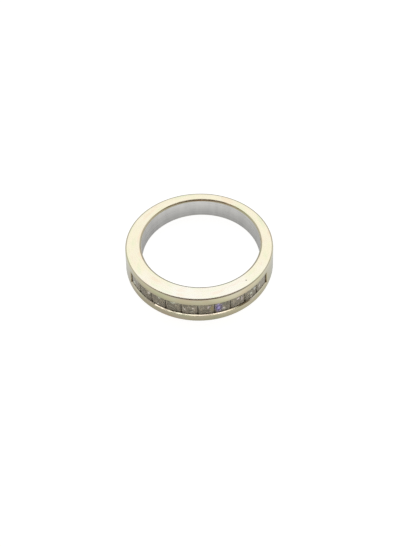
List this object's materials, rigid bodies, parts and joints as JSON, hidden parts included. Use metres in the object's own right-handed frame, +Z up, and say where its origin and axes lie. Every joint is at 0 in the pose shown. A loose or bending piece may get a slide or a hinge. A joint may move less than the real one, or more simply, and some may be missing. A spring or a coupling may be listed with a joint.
{
  "type": "half eternity ring",
  "caption": "Half eternity ring: a white gold band, wider and thicker at the front, with square princess-cut stones held edge to edge in a channel across its front.",
  "frame": {"origin": "where the finger bore's axis meets the plane of the side face that the ring lies on", "axes": "+Z up from the surface the ring lies on and within two degrees of the bore's axis, -Y towards the stones, +X to the right of someone facing the stones"},
  "size_m": [0.0209, 0.021, 0.0046],
  "materials": {
    "white_gold": "polished white gold with a thin, partly worn rhodium plating, satin inside the bore",
    "diamond": "polished flat facets"
  },
  "bodies": {
    "root": {"band": "white_gold", "stone_01": "diamond", "stone_02": "diamond", "stone_03": "diamond", "stone_04": "diamond", "stone_05": "diamond", "stone_06": "diamond", "stone_07": "diamond", "stone_08": "diamond", "stone_09": "diamond", "stone_10": "diamond"}
  },
  "joints": []
}
